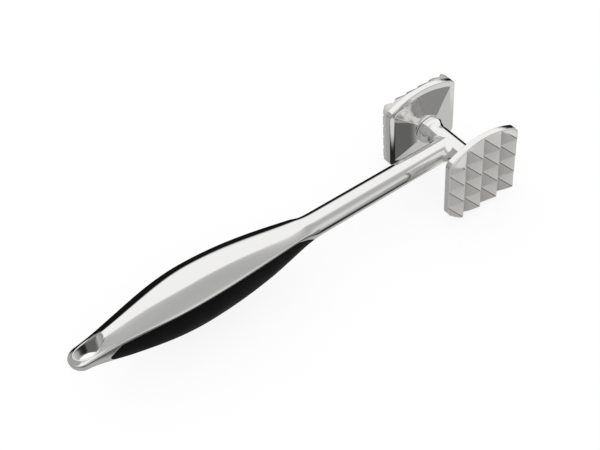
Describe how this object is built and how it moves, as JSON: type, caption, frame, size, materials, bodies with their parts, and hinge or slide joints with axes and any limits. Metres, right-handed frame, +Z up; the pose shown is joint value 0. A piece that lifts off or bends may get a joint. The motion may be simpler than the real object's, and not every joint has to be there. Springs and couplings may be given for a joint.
{
  "type": "meat tenderizer",
  "caption": "Two-sided meat tenderizer: leaf-shaped cast handle with a soft belly insert and a T head carrying a coarse and a fine tooth plate.",
  "frame": {"origin": "centre of the bounding box in plan, on the plane that the plates' lower arches rest on", "axes": "+X along the handle from the hanging hole to the head, +Y from the coarse plate to the fine plate, +Z up through the grip's crown"},
  "size_m": [0.2284, 0.0567, 0.0434],
  "materials": {
    "chrome_casting": "polished chrome plate on a die casting",
    "soft_insert": "smooth soft-touch black elastomer",
    "tooth_metal": "polished plated back, satin as-cast teeth",
    "stud_steel": "plain threaded steel"
  },
  "bodies": {
    "root": {"handle": "chrome_casting", "grip_insert": "soft_insert", "coarse_plate": "tooth_metal", "fine_plate": "tooth_metal", "plate_studs": "stud_steel"}
  },
  "joints": []
}
